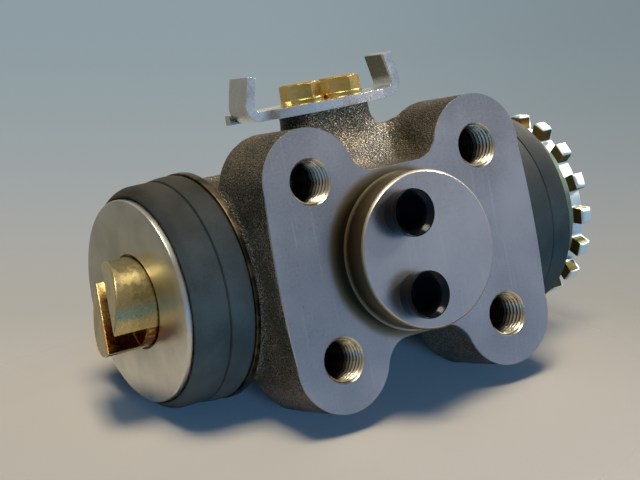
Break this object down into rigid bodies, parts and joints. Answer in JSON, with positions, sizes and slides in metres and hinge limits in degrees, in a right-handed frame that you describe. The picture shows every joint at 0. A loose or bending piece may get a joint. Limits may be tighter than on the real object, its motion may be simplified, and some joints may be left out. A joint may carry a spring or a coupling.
{
  "type": "wheel cylinder",
  "caption": "Hydraulic wheel cylinder: cast body with a lobed mounting flange and spigot, opposed pistons under rubber boots, a slotted tappet and a star wheel adjuster.",
  "frame": {"origin": "centre of the mounting face, where the spigot axis crosses it", "axes": "+X along the bore to the star wheel, +Z to the turret with the guide plate, the mounting face looks along -Y"},
  "size_m": [0.1553, 0.084, 0.0892],
  "materials": {
    "casting": "sand cast, with machined faces",
    "piston": "turned",
    "seal": "smooth",
    "spring_steel": "drawn",
    "boot": "moulded",
    "cover": "matt zinc",
    "gold_plating": "yellow chromate",
    "wheel_plating": "greenish yellow chromate",
    "zinc_plate": "bright zinc",
    "plug": "glossy moulded"
  },
  "bodies": {
    "housing": {"cylinder_body": "casting", "left_boot": "boot", "right_boot": "boot", "return_spring": "spring_steel", "guide_plate": "zinc_plate", "plate_bolts": "gold_plating", "plate_washers": "gold_plating", "upper_port_plug": "plug", "lower_port_plug": "plug"},
    "left_piston": {"left_piston": "piston", "left_piston_cup": "seal", "left_spring_seat": "spring_steel", "left_cover_disc": "cover"},
    "left_tappet": {"left_tappet": "gold_plating"},
    "right_piston": {"right_piston": "piston", "right_piston_cup": "seal", "right_spring_seat": "spring_steel", "right_cover_disc": "cover"},
    "star_wheel": {"star_wheel": "wheel_plating"},
    "adjuster_screw": {"adjuster_screw": "gold_plating"}
  },
  "joints": [
    {"name": "left_piston_slide", "type": "slide", "parent": "housing", "child": "left_piston", "axis": [-1, 0, 0], "range_m": [-0.003, 0.008], "deforming": ["left_boot", "return_spring"]},
    {"name": "left_tappet_turn", "type": "hinge", "parent": "left_piston", "child": "left_tappet", "pos_m": [-0.062, 0.0404, 0], "axis": [1, 0, 0], "continuous": true},
    {"name": "right_piston_slide", "type": "slide", "parent": "housing", "child": "right_piston", "axis": [1, 0, 0], "range_m": [-0.003, 0.008], "deforming": ["right_boot", "return_spring"]},
    {"name": "star_wheel_turn", "type": "hinge", "parent": "right_piston", "child": "star_wheel", "pos_m": [0.07, 0.0404, 0], "axis": [1, 0, 0], "range_deg": [0, 2400]},
    {"name": "adjuster_screw_slide", "type": "slide", "parent": "right_piston", "child": "adjuster_screw", "axis": [1, 0, 0], "range_m": [0, 0.0101]}
  ],
  "couplings": [
    {"joint": "adjuster_screw_slide", "follows": "star_wheel_turn", "m_per_rad": 0.00023873}
  ]
}
